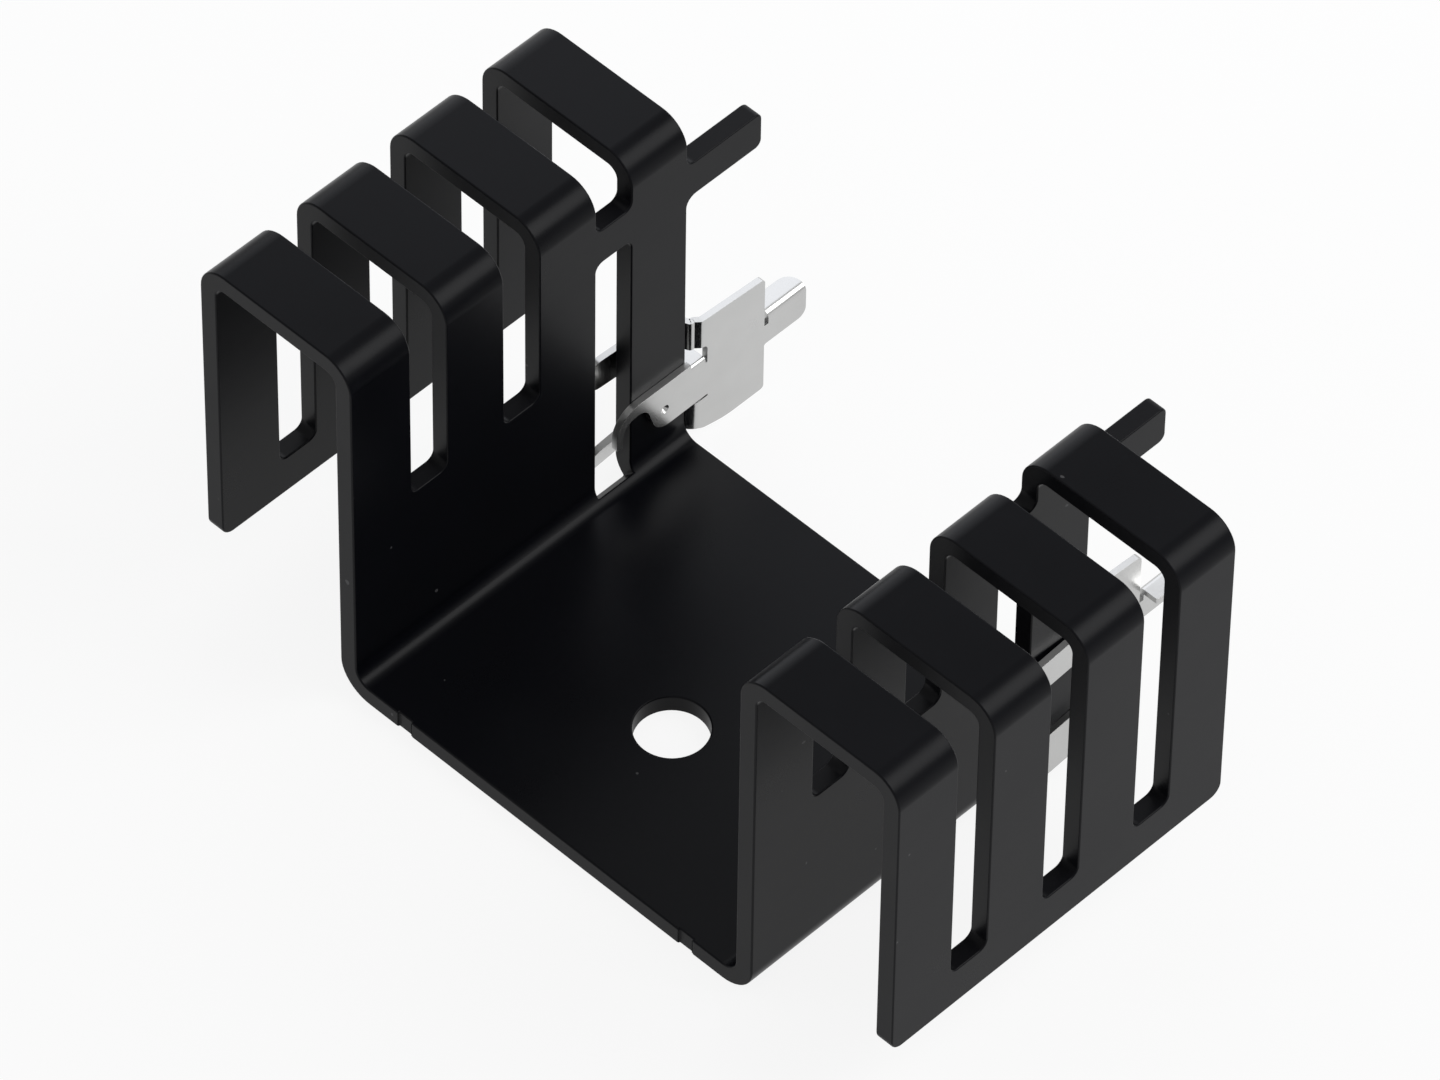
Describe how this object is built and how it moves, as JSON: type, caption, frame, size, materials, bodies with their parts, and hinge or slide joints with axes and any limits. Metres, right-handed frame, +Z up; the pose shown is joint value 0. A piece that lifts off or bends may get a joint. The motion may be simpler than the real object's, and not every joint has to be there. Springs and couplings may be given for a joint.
{
  "type": "folded-sheet heat sink with solder tabs",
  "caption": "Channel-shaped folded aluminium heat sink for a power transistor, with slotted turned-over side fins, a screw hole in its base, stand-off feet and clip-on solder tabs.",
  "frame": {"origin": "the screw hole's axis at the underside of the base", "axes": "+X across the channel to the right, +Y from the front edge to the back edge that faces the circuit board, +Z up from the underside of the base along the screw hole"},
  "size_m": [0.0518, 0.0345, 0.0262],
  "materials": {
    "anodised_sheet": "black anodised, satin, slightly paler at its punched edges",
    "tinned_metal": "smooth dull tin plating"
  },
  "bodies": {
    "root": {"finned_channel": "anodised_sheet", "solder_tab_left": "tinned_metal", "solder_tab_right": "tinned_metal"}
  },
  "joints": []
}
